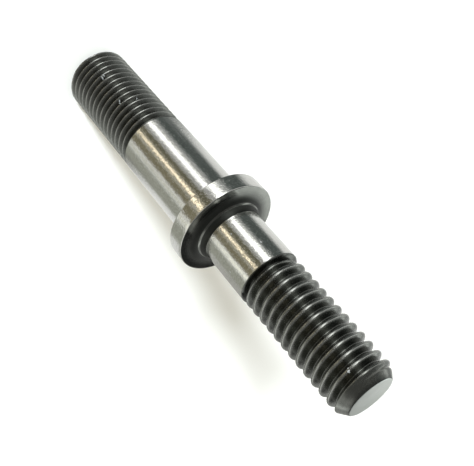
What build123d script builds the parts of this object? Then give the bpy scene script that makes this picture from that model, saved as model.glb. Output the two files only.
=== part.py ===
from build123d import *
import os
from math import ceil, cos, radians, tan

# Rocker stud: one bar of steel, turned, ground on its shanks and threaded at both ends.
# It stands on the flat end of its fine thread, with the Z axis up through its middle.
# The coarse thread screws into a casting until the collar seats, and the fine thread takes the nut.

# Fine thread, 7/16 inch with 20 turns to the inch: a plain cylinder of its major diameter,
# up to the last groove, where the thread runs out against the long shank
fine_thread_d = 11.0
fine_thread_length = 20.3
fine_end_d = 9.1
fine_end_chamfer = 0.95
fine_groove_d = 9.6
fine_groove_width = 1.1

# Long ground shank between the fine thread and the collar
long_shank_d = 11.11
long_shank_length = 17.8

# Collar with small broken edges, a small cone at the long shank's foot, and at the short shank's
# foot a hollow of this radius, turned as two cones
collar_d = 16.0
collar_height = 2.9
collar_edge = 0.25
long_foot_cone = 0.5
short_foot_hollow = 1.8

# Short ground shank between the collar and the coarse thread
short_shank_d = 9.5
short_shank_length = 10.6

# Coarse thread, 3/8 inch with 16 turns to the inch
coarse_thread_d = 9.42
coarse_pitch = 1.5875
coarse_thread_length = 21.4
coarse_end_d = 7.0
coarse_end_chamfer = 1.6

# Form of the coarse thread: depth and crest flat as shares of the pitch, and each flank's angle in degrees
depth_share = 0.6134
crest_share = 0.125
flank_angle = 30
# Its groove climbs out to the short shank over this share of the pitch
runout_share = 0.6
# How deep the foot of its rib is sunk into the core, and how far below the shank's top the rib starts
rib_root = 0.1
rib_lead = 1.99
# A foot's cone or hollow takes no more than this share of the collar's ledge that carries it
ledge_share = 0.9

# Heights of the steps, from the fine end up
collar_z = fine_thread_length + long_shank_length
seat_z = collar_z + collar_height
coarse_thread_z = seat_z + short_shank_length
stud_length = coarse_thread_z + coarse_thread_length

coarse_core_r = coarse_thread_d / 2 - depth_share * coarse_pitch


def thread_turns(core_r, crest_r, pitch, start_z, end_z):
    """The rib of a right-hand thread as a list of single turns that meet end to end."""
    crest_half = crest_share * pitch / 2
    foot_half = crest_half + (crest_r - core_r + rib_root) * tan(radians(flank_angle))
    with BuildPart() as turn:
        with BuildLine() as path:
            Helix(pitch=pitch, height=pitch, radius=core_r)
        with BuildSketch(Plane.XZ):
            with BuildLine():
                Polyline(
                    (core_r - rib_root, -foot_half),
                    (crest_r, -crest_half),
                    (crest_r, crest_half),
                    (core_r - rib_root, foot_half),
                    close=True,
                )
            make_face()
        sweep(path=path.line, is_frenet=True)
    count = ceil((end_z - start_z) / pitch)
    return [turn.part.moved(Location((0, 0, start_z + pitch * i))) for i in range(count)]


def corner(outline, radius, height):
    """The corner of the turned outline nearest to this radius and height."""
    return outline.vertices().sort_by_distance((radius, height, 0))[0]


def foot_size(wanted, shank_d):
    """The cone or hollow at a shank's foot, kept on the collar's ledge."""
    return min(wanted, ledge_share * ((collar_d - shank_d) / 2 - collar_edge))


# The two cones of the short shank's foot meet on the hollow's arc, halfway round
hollow_r = foot_size(short_foot_hollow, short_shank_d)
hollow_mid = hollow_r * (1 - cos(radians(45)))

# What the lathe takes off the coarse end: the chamfer, and the rib where it runs on past the face
with BuildPart() as coarse_end_waste:
    with BuildSketch(Plane.XZ):
        with BuildLine():
            Polyline(
                (0, stud_length),
                (coarse_end_d / 2, stud_length),
                (coarse_thread_d - coarse_end_d / 2, stud_length - 2 * coarse_end_chamfer),
                (coarse_thread_d - coarse_end_d / 2, stud_length + 3 * coarse_pitch),
                (0, stud_length + 3 * coarse_pitch),
                close=True,
            )
        make_face()
    revolve(axis=Axis.Z)

# The rib runs from inside the short shank to past the end face
rib_turns = thread_turns(
    coarse_core_r,
    coarse_thread_d / 2,
    coarse_pitch,
    coarse_thread_z - rib_lead,
    stud_length + coarse_pitch,
)

with BuildPart() as stud:
    with BuildSketch(Plane.XZ) as outline:
        with BuildLine():
            Polyline(
                (0, 0),
                (fine_end_d / 2, 0),
                (fine_thread_d / 2, fine_end_chamfer),
                (fine_thread_d / 2, fine_thread_length - fine_groove_width),
                (fine_groove_d / 2, fine_thread_length - fine_groove_width / 2),
                (long_shank_d / 2, fine_thread_length),
                (long_shank_d / 2, collar_z),
                (collar_d / 2, collar_z),
                (collar_d / 2, seat_z),
                (short_shank_d / 2 + hollow_r, seat_z),
                (short_shank_d / 2 + hollow_mid, seat_z + hollow_mid),
                (short_shank_d / 2, seat_z + hollow_r),
                (short_shank_d / 2, coarse_thread_z),
                (coarse_core_r, coarse_thread_z + runout_share * coarse_pitch),
                (coarse_core_r, stud_length),
                (0, stud_length),
                close=True,
            )
        make_face()
        chamfer(corner(outline, collar_d / 2, collar_z), collar_edge)
        chamfer(corner(outline, collar_d / 2, seat_z), collar_edge)
        chamfer(corner(outline, long_shank_d / 2, collar_z), foot_size(long_foot_cone, long_shank_d))
    revolve(axis=Axis.Z)
    add(rib_turns, clean=False)
    add(coarse_end_waste.part, mode=Mode.SUBTRACT, clean=False)

stud.part.label = "rocker_stud"
os.makedirs("parts", exist_ok=True)
export_step(stud.part, "parts/rocker_stud.step")
print("length", round(stud_length, 2), "mm, volume", round(stud.part.volume, 1), "mm3")
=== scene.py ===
import math

import bpy
import numpy as np
from mathutils import Matrix, Vector


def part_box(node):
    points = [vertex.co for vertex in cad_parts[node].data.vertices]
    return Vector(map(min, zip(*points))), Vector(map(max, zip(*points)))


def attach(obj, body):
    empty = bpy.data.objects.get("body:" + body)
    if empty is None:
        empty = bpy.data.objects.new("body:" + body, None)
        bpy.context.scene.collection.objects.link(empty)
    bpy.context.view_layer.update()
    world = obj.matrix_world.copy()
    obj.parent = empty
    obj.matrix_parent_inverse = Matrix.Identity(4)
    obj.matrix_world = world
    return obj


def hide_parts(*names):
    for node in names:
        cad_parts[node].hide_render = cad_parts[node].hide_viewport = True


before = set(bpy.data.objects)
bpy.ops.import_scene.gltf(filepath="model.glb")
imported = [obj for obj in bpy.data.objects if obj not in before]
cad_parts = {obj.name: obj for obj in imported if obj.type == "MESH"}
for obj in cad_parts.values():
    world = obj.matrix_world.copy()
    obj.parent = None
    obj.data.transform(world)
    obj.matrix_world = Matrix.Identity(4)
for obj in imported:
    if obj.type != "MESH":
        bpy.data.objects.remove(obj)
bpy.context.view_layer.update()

# The stud in millimetres, from its fine end up. Its length and its collar's radius come from the frame
MM = 0.001
stud_high = np.array(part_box("rocker_stud")[1]) / MM
stud_top = stud_high[2]
collar_r = stud_high[0]
collar_height = 2.9
short_shank_length = 10.6
seat = 41.0
collar_under = seat - collar_height
long_shank_r = 5.555
long_shank_start = 20.3
short_shank_r = 4.75
short_shank_end = seat + short_shank_length

# Threads: crest radius, pitch, and the height of one crest on the side that faces the camera
fine_crest_r = 5.5
fine_pitch = 1.27
fine_crest_z = 18.95
fine_chamfer_r = 4.55
fine_chamfer = 0.95
coarse_crest_r = 4.71
coarse_pitch = 1.5875
coarse_crest_z = seat + 9.8
coarse_chamfer_r = 3.5
coarse_chamfer = 1.6
# The last groove fills up over these heights, where the chamfer was turned before the thread was rolled
coarse_fade_start = 71.3
coarse_fade_end = 72.1
# Width of the groove that parts the coarse thread from the short shank, at its bottom
first_groove = 0.45
# Depth of both threads as a share of the pitch, half the angle between their flanks, the angle in degrees
# at which a thread runs out to its shank, and the radii that their crests are worn to
thread_depth_share = 0.6134
flank_angle = math.radians(30)
run_out_angle = math.radians(20)
fine_crest_round = 0.15
coarse_crest_round = 0.28
# Widths of the rounded corners where a thread meets its run-out, its chamfer and its relief groove
fine_blend = 0.08
coarse_blend = 0.06
groove_blend = 0.12

# Hollow at the foot of the short shank, and the small one under the collar
short_foot_r = 1.8
long_foot_r = 0.5
collar_edge = 0.16

# Angles of the mesh's points: 0 faces the camera, along -Y, and grows towards +X
points_round = 148
angle = np.linspace(0.0, 2 * math.pi, points_round, endpoint=False)[None, :]


def smooth_least(a, b, blend):
    """The lesser of a and b, with the corner between them rounded: a parabola of width blend joins the two."""
    share = np.clip(0.5 + 0.5 * (b - a) / blend, 0.0, 1.0)
    return b + (a - b) * share - blend * share * (1.0 - share)


def smooth_most(a, b, blend):
    """The greater of a and b, rounded the same way."""
    return -smooth_least(-a, -b, blend)


def thread_radius(z, crest_r, pitch, crest_z, crest_round):
    """Radius of a right-hand 60 degree thread at each angle, from the height of one crest at angle 0.

    The ridge climbs one pitch a turn. The distance from the nearest crest line, along the axis, is
    |(z - crest_z) / pitch - angle / 2 pi|, folded to half a pitch. The crest is an arc of radius c and the
    root one of radius b. Both meet the straight flanks where they have turned by 60 degrees, so that
    c + b = pitch / (2 tan 30) - depth, and the flanks fall by 1 / tan 30 for each millimetre between them.
    """
    depth = thread_depth_share * pitch
    root_round = pitch / (2 * math.tan(flank_angle)) - depth - crest_round
    turns = (z - crest_z) / pitch - angle / (2 * math.pi)
    away = np.abs(turns - np.round(turns)) * pitch
    crest_end = crest_round * math.sin(math.radians(60))
    root_end = root_round * math.sin(math.radians(60))
    crest = depth - crest_round + np.sqrt(np.maximum(crest_round ** 2 - away ** 2, 0.0))
    flank = depth - crest_round / 2 - (away - crest_end) / math.tan(flank_angle)
    root = root_round - np.sqrt(np.maximum(root_round ** 2 - (pitch / 2 - away) ** 2, 0.0))
    height = np.where(away < crest_end, crest, np.where(away > pitch / 2 - root_end, root, flank))
    return crest_r - depth + height


def arc(centre, radius, start, end, count):
    """Points (r, z) round an arc, from one angle to the other, in degrees in the plane of r and z."""
    turn = np.radians(np.linspace(start, end, count))
    return np.column_stack([centre[0] + radius * np.cos(turn), centre[1] + radius * np.sin(turn)])


def line(start, end, count):
    """Points (r, z) evenly along a straight line, without its last point."""
    share = np.linspace(0.0, 1.0, count + 1)[:-1, None]
    return np.array(start) * (1 - share) + np.array(end) * share


def thread_rows(pitch, crest_z, crest_round, low, high, turns_of_arc):
    """Heights at angle 0 of the rows that follow a thread, and how many of them make one pitch.

    They lie at the middle of the crest and of the root, on both arcs where these have turned by the given
    degrees, and on the flanks, so that the mesh's edges run along the ridge.
    """
    root_round = pitch / (2 * math.tan(flank_angle)) - thread_depth_share * pitch - crest_round
    turn = np.sin(np.radians(turns_of_arc))
    crest = crest_round * turn
    root = pitch / 2 - root_round * turn[::-1]
    flank = line((crest[-1], 0), (root[0], 0), len(turn) - 1)[1:, 0]
    half = np.concatenate([crest, flank, root])
    one = np.concatenate([[0.0], half, [pitch / 2], pitch - half[::-1]])
    first = math.floor((low - crest_z) / pitch) - 2
    last = math.ceil((high - crest_z) / pitch) + 1
    turns = np.arange(first, last + 1)[:, None]
    return (crest_z + turns * pitch + one[None, :]).ravel(), len(one)


def turned(outline):
    """A block of level rows up the turned outline (r, z): radius and height by row and angle, with no climb."""
    r = np.repeat(outline[:, :1], points_round, axis=1)
    z = np.repeat(outline[:, 1:], points_round, axis=1)
    return r, z, 0


def fine_thread(z):
    """Radius of the fine thread at each height and angle.

    It is the lesser of the ridge and the chamfer's cone, and near the shank the greater of that and the
    run-out, which falls from the shank's radius by 1 / tan of its angle for each millimetre.
    """
    ridge = thread_radius(z, fine_crest_r, fine_pitch, fine_crest_z, fine_crest_round)
    lead_in = fine_chamfer_r + z * (fine_crest_r - fine_chamfer_r) / fine_chamfer
    run_out = long_shank_r + (z - long_shank_start) / math.tan(run_out_angle)
    return smooth_least(smooth_most(ridge, run_out, fine_blend), lead_in, fine_blend)


def coarse_thread(z):
    """Radius of the coarse thread, by the same rule as the fine one, with two things more.

    The relief groove at the short shank rises from the root as a flank does, and caps the ridge. Near the
    chamfer the last groove fills up to the cone, by the smooth step 3 f^2 - 2 f^3 of its share f.
    """
    ridge = thread_radius(z, coarse_crest_r, coarse_pitch, coarse_crest_z, coarse_crest_round)
    cone = coarse_chamfer_r + (stud_top - z) * (coarse_crest_r - coarse_chamfer_r) / coarse_chamfer
    run_out = short_shank_r - (z - short_shank_end) / math.tan(run_out_angle)
    fade = np.clip((z - coarse_fade_start) / (coarse_fade_end - coarse_fade_start), 0.0, 1.0)
    ridge = ridge + np.maximum(cone - ridge, 0.0) * fade * fade * (3 - 2 * fade)
    core_r = coarse_crest_r - thread_depth_share * coarse_pitch
    relief = core_r + np.maximum(z - short_shank_end - first_groove, 0.0) / math.tan(flank_angle)
    ridge = smooth_least(ridge, relief, groove_blend)
    return smooth_least(smooth_most(ridge, run_out, coarse_blend), cone, coarse_blend)


def climbing(radius, rows, climb, low, high):
    """A block of rows that climb one pitch a turn, cut off level at its two ends: radius, height and climb."""
    z = rows[:, None] + (rows[climb] - rows[0]) * angle / (2 * math.pi)
    z = np.clip(z, low, high)
    return radius(z), z, climb


def stud_blocks():
    """The stud from its fine end up: level rows, the fine thread, level rows, the coarse thread, level rows."""
    foot = short_foot_r
    under = long_foot_r
    edge = collar_edge
    fine_low = 0.08
    coarse_high = stud_top - 0.10
    fine_end_round = 0.1
    coarse_end_round = 0.12
    pole_r = 0.02
    fine = thread_rows(
        fine_pitch, fine_crest_z, fine_crest_round, fine_low, long_shank_start, [16.0, 36.0, 58.0]
    )
    coarse = thread_rows(
        coarse_pitch, coarse_crest_z, coarse_crest_round, short_shank_end, coarse_high, [12.0, 25.0, 40.0, 58.0]
    )
    fine_block = climbing(fine_thread, *fine, fine_low, long_shank_start)
    coarse_block = climbing(coarse_thread, *coarse, short_shank_end, coarse_high)
    low_end = np.vstack([
        line((pole_r, 0.0), (fine_chamfer_r - fine_end_round, 0.0), 6),
        arc((fine_chamfer_r - fine_end_round, fine_end_round), fine_end_round, -90, -50, 4),
        [(fine_block[0][0, 0], fine_low)],
    ])
    middle = np.vstack([
        line((fine_block[0][-1, 0], long_shank_start), (long_shank_r, long_shank_start + 0.03), 1),
        line((long_shank_r, long_shank_start + 0.03), (long_shank_r, collar_under - under), 12),
        arc((long_shank_r + under, collar_under - under), under, 180, 90, 8),
        line((long_shank_r + under + 0.1, collar_under), (collar_r - edge - 0.05, collar_under), 3),
        arc((collar_r - edge, collar_under + edge), edge, -90, 0, 7),
        line((collar_r, collar_under + edge + 0.05), (collar_r, seat - edge), 6),
        arc((collar_r - edge, seat - edge), edge, 0, 90, 7),
        line((collar_r - edge - 0.05, seat), (short_shank_r + foot + 0.05, seat), 3),
        arc((short_shank_r + foot, seat + foot), foot, 270, 180, 14),
        line((short_shank_r, seat + foot + 0.2), (short_shank_r, short_shank_end - 0.03), 10),
        line((short_shank_r, short_shank_end - 0.03), (coarse_block[0][0, 0], short_shank_end), 1),
        [(coarse_block[0][0, 0], short_shank_end)],
    ])
    high_end = np.vstack([
        [(coarse_block[0][-1, 0], coarse_high)],
        arc((coarse_chamfer_r - coarse_end_round, stud_top - coarse_end_round), coarse_end_round, 45, 90, 4),
        line((coarse_chamfer_r - 0.2, stud_top), (pole_r, stud_top), 6),
    ])
    return [turned(low_end), fine_block, turned(middle), coarse_block, turned(high_end)]


def closed_mesh(name, blocks):
    """A closed mesh of the blocks, one on the other, with a pole at each end.

    A climbing block's cut off points are those of the level ring that it meets. Round the turn, each row
    is joined to the row that lies one pitch further on.
    """
    counts = [r.size for r, z, climb in blocks]
    starts = np.concatenate([[0], np.cumsum(counts)])
    points = np.vstack([
        np.column_stack([(r * np.sin(angle)).ravel(), (-r * np.cos(angle)).ravel(), z.ravel()])
        for r, z, climb in blocks
    ])
    numbers = [start + np.arange(r.size).reshape(r.shape) for start, (r, z, climb) in zip(starts, blocks)]
    faces = []
    for place, (r, z, climb) in enumerate(blocks):
        index = numbers[place]
        if climb:
            below = numbers[place - 1][-1:]
            above = numbers[place + 1][:1]
            index = np.where(z <= z.min(), below, np.where(z >= z.max(), above, index))
            beside = np.concatenate([index[climb:, 0], np.full(climb, above[0, 0])])
        else:
            beside = index[:, 0]
        index = np.column_stack([index, beside])
        corners = [index[:-1, :-1], index[:-1, 1:], index[1:, 1:], index[1:, :-1]]
        faces += np.stack(corners, axis=-1).reshape(-1, 4).tolist()
    # A face whose points have met keeps each of them once
    faces = [list(dict.fromkeys(face)) for face in faces]
    faces = [face for face in faces if len(face) > 2]
    low_ring = numbers[0][0]
    high_ring = numbers[-1][-1]
    pole = len(points)
    faces += np.column_stack([np.roll(low_ring, -1), low_ring, np.full(points_round, pole)]).tolist()
    faces += np.column_stack([high_ring, np.roll(high_ring, -1), np.full(points_round, pole + 1)]).tolist()
    points = np.vstack([points, [0, 0, 0], [0, 0, stud_top]]) * MM
    used, compact = np.unique(np.concatenate([np.array(face) for face in faces]), return_inverse=True)
    ends = np.cumsum([len(face) for face in faces])
    faces = [part.tolist() for part in np.split(compact, ends[:-1])]
    mesh = bpy.data.meshes.new(name)
    mesh.from_pydata(points[used].tolist(), [], faces)
    mesh.validate()
    mesh.polygons.foreach_set("use_smooth", np.ones(len(mesh.polygons), dtype=bool))
    mesh.update()
    return mesh


def piece(name, mesh, material):
    """An object at the origin that rides on the part's one body."""
    obj = bpy.data.objects.new(name, mesh)
    bpy.context.scene.collection.objects.link(obj)
    obj.data.materials.append(material)
    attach(obj, "root")
    return obj


class Value:
    """A shader socket that takes part in sums: + - * / add the Math nodes."""

    def __init__(self, tree, socket):
        self.tree = tree
        self.socket = socket

    def node(self, kind, settings=None, **inputs):
        """Any other node: its type, its settings, and the values or links of its sockets by name or number."""
        made = self.tree.nodes.new(kind)
        for key, value in (settings or {}).items():
            setattr(made, key, value)
        for key, value in inputs.items():
            socket = made.inputs[int(key[1:]) if key[0] == "i" and key[1:].isdigit() else key.replace("_", " ")]
            if isinstance(value, Value):
                self.tree.links.new(value.socket, socket)
            else:
                socket.default_value = value
        return made

    def maths(self, operation, *values):
        sockets = {f"i{number}": value for number, value in enumerate(values)}
        made = self.node("ShaderNodeMath", {"operation": operation}, **sockets)
        return Value(self.tree, made.outputs[0])

    def __add__(self, other):
        return self.maths("ADD", self, other)

    __radd__ = __add__

    def __sub__(self, other):
        return self.maths("SUBTRACT", self, other)

    def __rsub__(self, other):
        return self.maths("SUBTRACT", other, self)

    def __mul__(self, other):
        return self.maths("MULTIPLY", self, other)

    __rmul__ = __mul__

    def __truediv__(self, other):
        return self.maths("DIVIDE", self, other)

    def clamp(self):
        made = self.node("ShaderNodeClamp", None, Value=self)
        return Value(self.tree, made.outputs[0])

    def step(self, start, end):
        """0 below start, 1 above end, and a smooth step between them, or the reverse where end is less."""
        made = self.node(
            "ShaderNodeMapRange",
            {"interpolation_type": "SMOOTHSTEP"},
            Value=self, From_Min=start, From_Max=end,
        )
        return Value(self.tree, made.outputs[0])

    def band(self, start, end, soft):
        """1 between start and end, 0 outside, with soft edges centred on the two."""
        return self.step(start - soft / 2, start + soft / 2) * (1 - self.step(end - soft / 2, end + soft / 2))

    def mix(self, colour_a, colour_b):
        """This value mixes from the first colour to the second."""
        made = self.node("ShaderNodeMix", {"data_type": "RGBA"})
        self.tree.links.new(self.socket, made.inputs["Factor"])
        for socket, colour in ((made.inputs[6], colour_a), (made.inputs[7], colour_b)):
            if isinstance(colour, Value):
                self.tree.links.new(colour.socket, socket)
            else:
                socket.default_value = (*colour, 1.0)
        return Value(self.tree, made.outputs[2])


def noise(here, place, scale, detail=2.0, rough=0.5, stretch=(1, 1, 1)):
    """Cloudy noise from 0 to 1 on a place vector, stretched along its axes."""
    moved = here.node("ShaderNodeMapping", None, Vector=place, Scale=stretch)
    made = here.node(
        "ShaderNodeTexNoise", None,
        Vector=Value(here.tree, moved.outputs[0]), Scale=scale, Detail=detail, Roughness=rough,
    )
    return Value(here.tree, made.outputs[0])


def marks(unrolled, wobble, spots):
    """1 on small marks of the surface, each at a compass angle, a height and of a size in millimetres."""
    total = None
    for compass, height, size in spots:
        centre = (math.radians(compass) * fine_crest_r, height, 0.0)
        apart = unrolled.node("ShaderNodeVectorMath", {"operation": "DISTANCE"}, i0=unrolled, i1=centre)
        mark = (Value(unrolled.tree, apart.outputs["Value"]) + wobble).step(size, size * 0.6)
        total = mark if total is None else total + mark
    return total.clamp()


# Colours of the ground shanks and rim, of the end face, of the black oxide, of the painted shade in the thread
# roots and the hollow, and of marks
STEEL_DARK = (0.50, 0.50, 0.475)
STEEL_LIGHT = (0.78, 0.78, 0.75)
SATIN_DARK = (0.38, 0.415, 0.39)
SATIN_LIGHT = (0.56, 0.595, 0.57)
OXIDE_DARK = (0.12, 0.125, 0.115)
OXIDE_LIGHT = (0.21, 0.215, 0.20)
WORN_OXIDE = (0.29, 0.295, 0.28)
# Painted shade: near black, laid into the thread roots, the groove beside the short shank and the hollow at its
# foot
PAINTED_SHADE = (0.032, 0.034, 0.031)
NICK = (0.20, 0.20, 0.185)
PIT = (0.03, 0.028, 0.025)

# Small nicks and pits: compass angle in degrees, height and radius in millimetres
NICKS = [
    (-15.0, 6.24, 0.13),
    (-11.0, 6.36, 0.14),
    (-6.5, 6.50, 0.15),
    (-8.1, 6.84, 0.13),
    (3.0, 5.70, 0.11),
    (-34.3, 14.35, 0.16),
    (-31.0, 14.10, 0.11),
    (-0.8, 13.07, 0.14),
    (-3.0, 12.84, 0.11),
    (50.1, 2.00, 0.17),
    (-0.4, 70.00, 0.20),
    (-2.6, 69.62, 0.13),
    (0.1, 44.86, 0.09),
    (47.7, 48.43, 0.13),
    (-30.2, 48.53, 0.12),
    (148.0, 9.20, 0.16),
    (-131.0, 60.10, 0.15),
    (171.0, 30.40, 0.12),
]
PITS = [
    (8.8, 39.62, 0.12),
    (12.6, 39.30, 0.06),
    (7.0, 25.13, 0.07),
    (-118.0, 39.20, 0.09),
]


def stud_finish():
    """Bright ground steel on the shanks and the rim, satin steel on the coarse end's face, black oxide elsewhere.

    Masks from 0 to 1 say where each finish lies, and where shade is painted into the colour: the thread
    roots, the groove beside the short shank and the hollow at its foot. They are worked out from the radius and
    the height in millimetres, so one material covers the bar.
    """
    material = bpy.data.materials.new("stud_finish")
    material.use_nodes = True
    tree = material.node_tree
    shader = tree.nodes["Principled BSDF"]
    coordinate = tree.nodes.new("ShaderNodeTexCoord")
    place = Value(tree, coordinate.outputs["Object"])
    split = place.node("ShaderNodeSeparateXYZ", None, Vector=place)
    x, y, z = (Value(tree, output) / MM for output in split.outputs)
    radius = x.maths("SQRT", x * x + y * y)

    # Where the bar was ground bright, with slightly wandering borders, and where it is threaded
    patchy = noise(z, place, 900, 3.0, 0.6)
    up = z + (patchy - 0.5) * 0.12
    long_ground = up.band(long_shank_start + 0.10, collar_under - long_foot_r * 0.5, 0.08)
    short_ground = up.band(seat + short_foot_r - 0.15, short_shank_end - 0.12, 0.08)
    rim_ground = radius.step(collar_r - 0.10, collar_r - 0.03)
    ground = (long_ground + short_ground + rim_ground).clamp()
    end_face = z.step(stud_top - 0.05, stud_top - 0.02)
    bare = (ground + end_face).clamp()
    threaded = 1 - z.band(long_shank_start - 0.3, short_shank_end - 0.3, 0.1)

    # Fine rings left by the lathe, larger clouds, and two sizes of grain
    lathe_rings = noise(z, place, 1000, 2.0, 0.6, (0.25, 0.25, 9.0))
    blotch = noise(z, place, 500, 4.0, 0.65)
    fine_grain = noise(z, place, 5000, 2.0, 0.5)
    mottle = noise(z, place, 3600, 1.5, 0.5)

    # How far up the ridge a point of either thread lies, 0 at the root and 1 at the crest
    on_coarse = z.step(short_shank_end - 1.0, short_shank_end - 0.5)
    crest_r = on_coarse * (coarse_crest_r - fine_crest_r) + fine_crest_r
    depth = on_coarse * ((coarse_pitch - fine_pitch) * thread_depth_share) + fine_pitch * thread_depth_share
    ridge = 1 - (crest_r - radius) / depth
    # Painted shade: the thread roots, and the groove beside the short shank, are darkened in colour where shade
    # falls
    beside_shank = z.band(short_shank_end - 0.05, short_shank_end + 0.55, 0.25) * 0.85
    root_band = (1 - (ridge + on_coarse * 0.2).step(-0.1, 0.50)) * (1 - on_coarse * 0.2)
    root_shade = (threaded * root_band + beside_shank).clamp()
    on_chamfer = z.step(stud_top - 1.9, stud_top - 1.5)
    worn = threaded * ridge.step(0.70, 1.0) * (blotch * 0.6 + 0.7) * (1 - on_chamfer)

    # The hollow at the short shank's foot: rough, with painted shade darkening its colour. One ring in it, which
    # the tool left, is spared from both, so it stays smooth and shows bright
    hollow = (1 - radius.step(5.6, 7.4)) * z.band(seat - 0.2, seat + short_foot_r + 0.1, 0.1)
    turned_ring = radius.band(5.14, 5.34, 0.08) * hollow
    dull_and_shaded = hollow - turned_ring
    seat_face = z.band(seat - 0.12, seat + short_foot_r + 0.1, 0.1)

    # Nicks and pits lie on the surface unrolled: the way round at the fine thread's radius, and the height
    wobble = (fine_grain - 0.5) * 0.35
    round_it = x.maths("ARCTAN2", x, 0 - y) * fine_crest_r
    unrolled = Value(tree, x.node("ShaderNodeCombineXYZ", None, X=round_it, Y=z).outputs[0])
    nicks = marks(unrolled, wobble, NICKS)
    pits = marks(unrolled, wobble, PITS)

    steel = (blotch * 0.5 + mottle * 0.6 + fine_grain * 0.5 - 0.3).clamp().mix(STEEL_DARK, STEEL_LIGHT)
    satin = blotch.mix(SATIN_DARK, SATIN_LIGHT)
    black = blotch.mix(OXIDE_DARK, OXIDE_LIGHT)
    worn_black = worn.mix(black, WORN_OXIDE)
    # Painted shade: the roots, the groove beside the short shank and the hollow mix towards the near-black
    # painted shade colour
    black_with_painted_shade = (dull_and_shaded * 0.97 + root_shade * 0.8).clamp().mix(worn_black, PAINTED_SHADE)
    clean = end_face.mix(ground.mix(black_with_painted_shade, steel), satin)
    colour = pits.mix(nicks.mix(clean, NICK), PIT)
    tree.links.new(colour.socket, shader.inputs["Base Color"])
    metal = (1 - nicks - pits).clamp()
    tree.links.new(metal.socket, shader.inputs["Metallic"])
    # The ground steel's rougher specks scatter light from one mirrored stripe into the next
    rough_steel = 0.08 + lathe_rings * 0.08 + mottle.step(0.42, 0.75) * 0.13
    rough_black = 0.16 + threaded * 0.06 + fine_grain * 0.08 - seat_face * 0.04 + dull_and_shaded * 0.28
    rough = rough_steel * ground + rough_black * (1 - bare) + end_face * 0.32 + nicks * 0.4 + pits * 0.3
    tree.links.new(rough.socket, shader.inputs["Roughness"])

    height = lathe_rings * 0.4 + mottle * (ground * 1.3 + 0.05) + fine_grain * 0.04 * (1 - ground)
    grain_depth = 0.012 * MM
    bump = place.node("ShaderNodeBump", None, Height=height, Strength=1.0, Distance=grain_depth)
    tree.links.new(bump.outputs[0], shader.inputs["Normal"])
    return material


def studio():
    """Soft light from all round, with panels that the steel mirrors as stripes.

    A panel spans compass angles, in degrees from the camera's side and positive towards +X, and heights
    in degrees above the horizon, both with soft edges. Each one lies over those before it.
    """
    world = bpy.data.worlds.new("studio")
    bpy.context.scene.world = world
    world.use_nodes = True
    tree = world.node_tree
    background = tree.nodes["Background"]
    coordinate = tree.nodes.new("ShaderNodeTexCoord")
    place = Value(tree, coordinate.outputs["Generated"])
    split = place.node("ShaderNodeSeparateXYZ", None, Vector=place)
    x, y, z = (Value(tree, output) for output in split.outputs)
    compass = x.maths("ARCTAN2", x, 0 - y) * (180 / math.pi)
    rise = z.maths("ARCSINE", z) * (180 / math.pi)
    panels = [
        # The room below the horizon, which the shanks, the rim and the crests mirror
        (-200, 200, 9, -100, 2, 6, (0.95, 0.96, 0.94)),
        (-107, -53, 26, -100, 0, 6, (0.10, 0.115, 0.11)),
        (-49, -17, 18, -100, 0, 6, (0.26, 0.26, 0.25)),
        (-15, 4.5, 9, -100, 0, 6, (0.155, 0.145, 0.098)),
        (3, 22, 7, -100, 0, 6, (0.36, 0.335, 0.245)),
        (9.5, 15, 5, -41, -26, 4, (3.0, 2.6, 1.95)),
        (9.5, 15, 5, -100, -41, 4, (1.25, 1.10, 0.83)),
        (23.5, 50, 10, -100, 0, 6, (0.25, 0.228, 0.155)),
        (57, 66, 8, -100, -31, 4, (0.70, 0.70, 0.61)),
        (54.5, 66, 9, -31, 0, 4, (1.35, 1.35, 1.20)),
        (70, 115, 14, -100, 0, 6, (0.40, 0.41, 0.355)),
        (112, 185, 14, -31, 0, 4, (0.46, 0.46, 0.43)),
        (-160, -85, 14, -100, -39, 4, (0.20, 0.215, 0.21)),
        (105, 160, 14, -100, -39, 4, (0.26, 0.265, 0.24)),
        # The room above it, for the flanks, the hollow and the chamfers
        (-200, 200, 9, 46, 100, 10, (0.55, 0.55, 0.535)),
        (-60, 60, 14, 2, 30, 6, (0.24, 0.24, 0.23)),
        (-150, -74, 14, 26, 72, 10, (0.20, 0.21, 0.205)),
        (66, 150, 14, 44, 76, 10, (0.26, 0.26, 0.25)),
        (-76, 66, 14, 34, 74, 8, (0.19, 0.19, 0.18)),
        # The white lamp in front, and one on either side
        (-42.5, -27.5, 12, -100, -28, 6, (2.20, 2.20, 2.16)),
        (-44, -28, 12, -28, 38, 6, (4.20, 4.28, 4.20)),
        (-165, -95, 12, 4, 46, 6, (0.55, 0.57, 0.56)),
        (-140, -95, 10, 19, 26, 4, (2.20, 2.25, 2.20)),
        (95, 140, 12, 4, 46, 6, (0.70, 0.71, 0.69)),
        (95, 135, 10, 19, 26, 4, (2.30, 2.35, 2.30)),
        # Behind the stud, for the end face and the collar's seat: grey, a dark wall and a lamp
        (140, 182, 14, 0, 19, 8, (0.55, 0.56, 0.54)),
        (140, 182, 14, 22, 44, 6, (0.02, 0.02, 0.02)),
        (-182, -177.2, 5, 22, 44, 6, (0.02, 0.02, 0.02)),
        (-177.2, -145, 5, 22, 44, 6, (2.30, 2.38, 2.32)),
    ]
    light = (1.05, 1.05, 1.02)
    for start, end, soft, low, high, soft_rise, colour in panels:
        light = (compass.band(start, end, soft) * rise.band(low, high, soft_rise)).mix(light, colour)
    tree.links.new(light.socket, background.inputs["Color"])
    background.inputs["Strength"].default_value = 1.0


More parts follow.
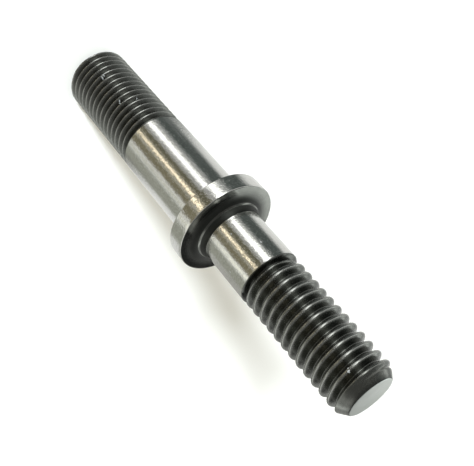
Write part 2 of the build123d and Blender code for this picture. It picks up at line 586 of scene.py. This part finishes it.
def key_light(compass, rise, width, strength, colour):
    """A distant soft light from a compass angle and a height, in degrees, that many degrees wide."""
    lamp = bpy.data.lights.new("key", "SUN")
    lamp.angle = math.radians(width)
    lamp.energy = strength
    lamp.color = colour
    obj = bpy.data.objects.new("key", lamp)
    bpy.context.scene.collection.objects.link(obj)
    turn = math.radians(compass)
    level = math.cos(math.radians(rise))
    source = Vector((math.sin(turn) * level, -math.cos(turn) * level, math.sin(math.radians(rise))))
    obj.rotation_euler = source.to_track_quat("Z", "Y").to_euler()
    obj.visible_glossy = False


def floor():
    """A plain pale floor, which the metal doesn't mirror, so that the studio's panels show in it instead."""
    mesh = bpy.data.meshes.new("floor")
    reach = 3.0
    corners = [(-reach, -reach, 0), (reach, -reach, 0), (reach, reach, 0), (-reach, reach, 0)]
    mesh.from_pydata(corners, [], [(0, 1, 2, 3)])
    obj = bpy.data.objects.new("floor", mesh)
    bpy.context.scene.collection.objects.link(obj)
    material = bpy.data.materials.new("pale_floor")
    material.use_nodes = True
    shader = material.node_tree.nodes["Principled BSDF"]
    shader.inputs["Base Color"].default_value = (0.90, 0.885, 0.83, 1)
    shader.inputs["Roughness"].default_value = 0.9
    shader.inputs["Emission Color"].default_value = (1.0, 0.90, 0.62, 1)
    shader.inputs["Emission Strength"].default_value = 0.11
    shader.inputs["Specular IOR Level"].default_value = 0.0
    obj.data.materials.append(material)
    obj.visible_glossy = False


def backdrop():
    """A white shell round everything, seen by the camera alone, so that low views don't show the panels."""
    mesh = bpy.data.meshes.new("backdrop")
    reach = 3.2
    corners = [(x, y, z) for z in (-reach, reach) for y in (-reach, reach) for x in (-reach, reach)]
    sides = [(0, 1, 3, 2), (4, 6, 7, 5), (0, 4, 5, 1), (2, 3, 7, 6), (0, 2, 6, 4), (1, 5, 7, 3)]
    mesh.from_pydata(corners, [], sides)
    obj = bpy.data.objects.new("backdrop", mesh)
    bpy.context.scene.collection.objects.link(obj)
    material = bpy.data.materials.new("white_backdrop")
    material.use_nodes = True
    shader = material.node_tree.nodes["Principled BSDF"]
    shader.inputs["Base Color"].default_value = (0, 0, 0, 1)
    shader.inputs["Specular IOR Level"].default_value = 0.0
    shader.inputs["Emission Color"].default_value = (1, 1, 1, 1)
    shader.inputs["Emission Strength"].default_value = 1.0
    obj.data.materials.append(material)
    obj.visible_diffuse = False
    obj.visible_glossy = False
    obj.visible_transmission = False
    obj.visible_shadow = False


def camera():
    """The photograph's view: from 30 degrees above, rolled so that the stud runs down from the upper left."""
    view = bpy.data.cameras.new("camera")
    view.sensor_width = 36.0
    view.lens = 53.39
    view.clip_start = 0.005
    obj = bpy.data.objects.new("camera", view)
    bpy.context.scene.collection.objects.link(obj)
    right = Vector((-0.7578, 0.3263, 0.5651))
    down = Vector((0.6525, 0.3789, 0.6563))
    back = right.cross(-down)
    turn = Matrix((right, -down, back)).transposed().to_4x4()
    obj.matrix_world = Matrix.Translation(Vector((-0.71, -88.60, 93.78)) * MM) @ turn
    bpy.context.scene.camera = obj


stud = piece("stud", closed_mesh("stud", stud_blocks()), stud_finish())
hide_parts("rocker_stud")
floor()
backdrop()
studio()
key_light(-8.5, 20, 6.5, 7.0, (0.82, 0.90, 1.0))
camera()
bpy.context.scene.view_settings.view_transform = "Standard"
